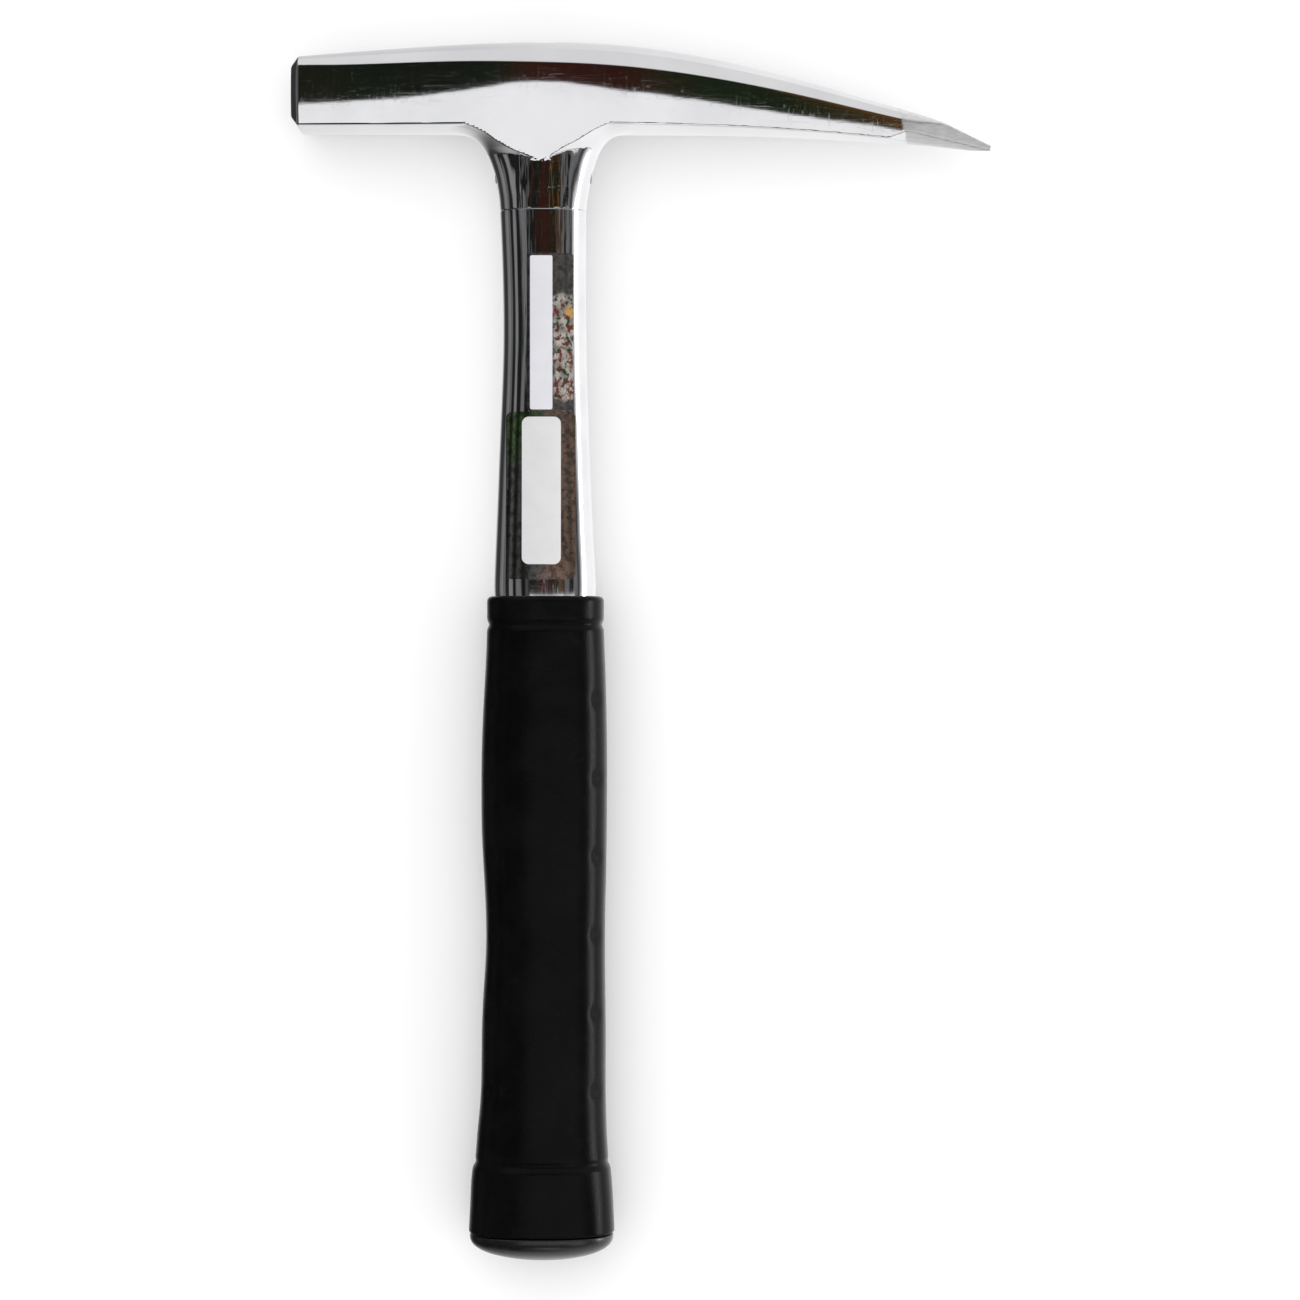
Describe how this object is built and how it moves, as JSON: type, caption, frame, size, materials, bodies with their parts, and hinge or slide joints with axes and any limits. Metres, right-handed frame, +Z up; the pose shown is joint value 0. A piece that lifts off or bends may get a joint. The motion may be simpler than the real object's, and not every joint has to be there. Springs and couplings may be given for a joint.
{
  "type": "rock hammer",
  "caption": "Geologist's rock hammer: forged steel head with a square face and a long pointed pick, polished oval steel tube handle, black moulded grip.",
  "frame": {"origin": "on the table under the middle of the whole tool, which lies flat on its side", "axes": "+Y along the handle from the butt to the head, +X from the striking face to the pick's point, +Z up through the head's cheeks"},
  "size_m": [0.1902, 0.33, 0.028],
  "materials": {
    "polished_steel": "forged steel, ground and polished bright",
    "chromed_tube": "bright plated steel tube",
    "plain_steel": "ground flush, unplated",
    "hardwood": "plain turned hardwood",
    "black_rubber": "moulded, satin with a fine texture",
    "black_plastic": "moulded",
    "label_film": "blank printed film"
  },
  "bodies": {
    "root": {"forged_head": "polished_steel", "handle_tube": "chromed_tube", "eye_wedge": "plain_steel", "cross_pin": "plain_steel", "neck_stiffener": "hardwood", "grip_sleeve": "black_rubber", "tube_end_plug": "black_plastic", "butt_cap": "black_plastic", "upper_label": "label_film", "lower_label": "label_film"}
  },
  "joints": []
}
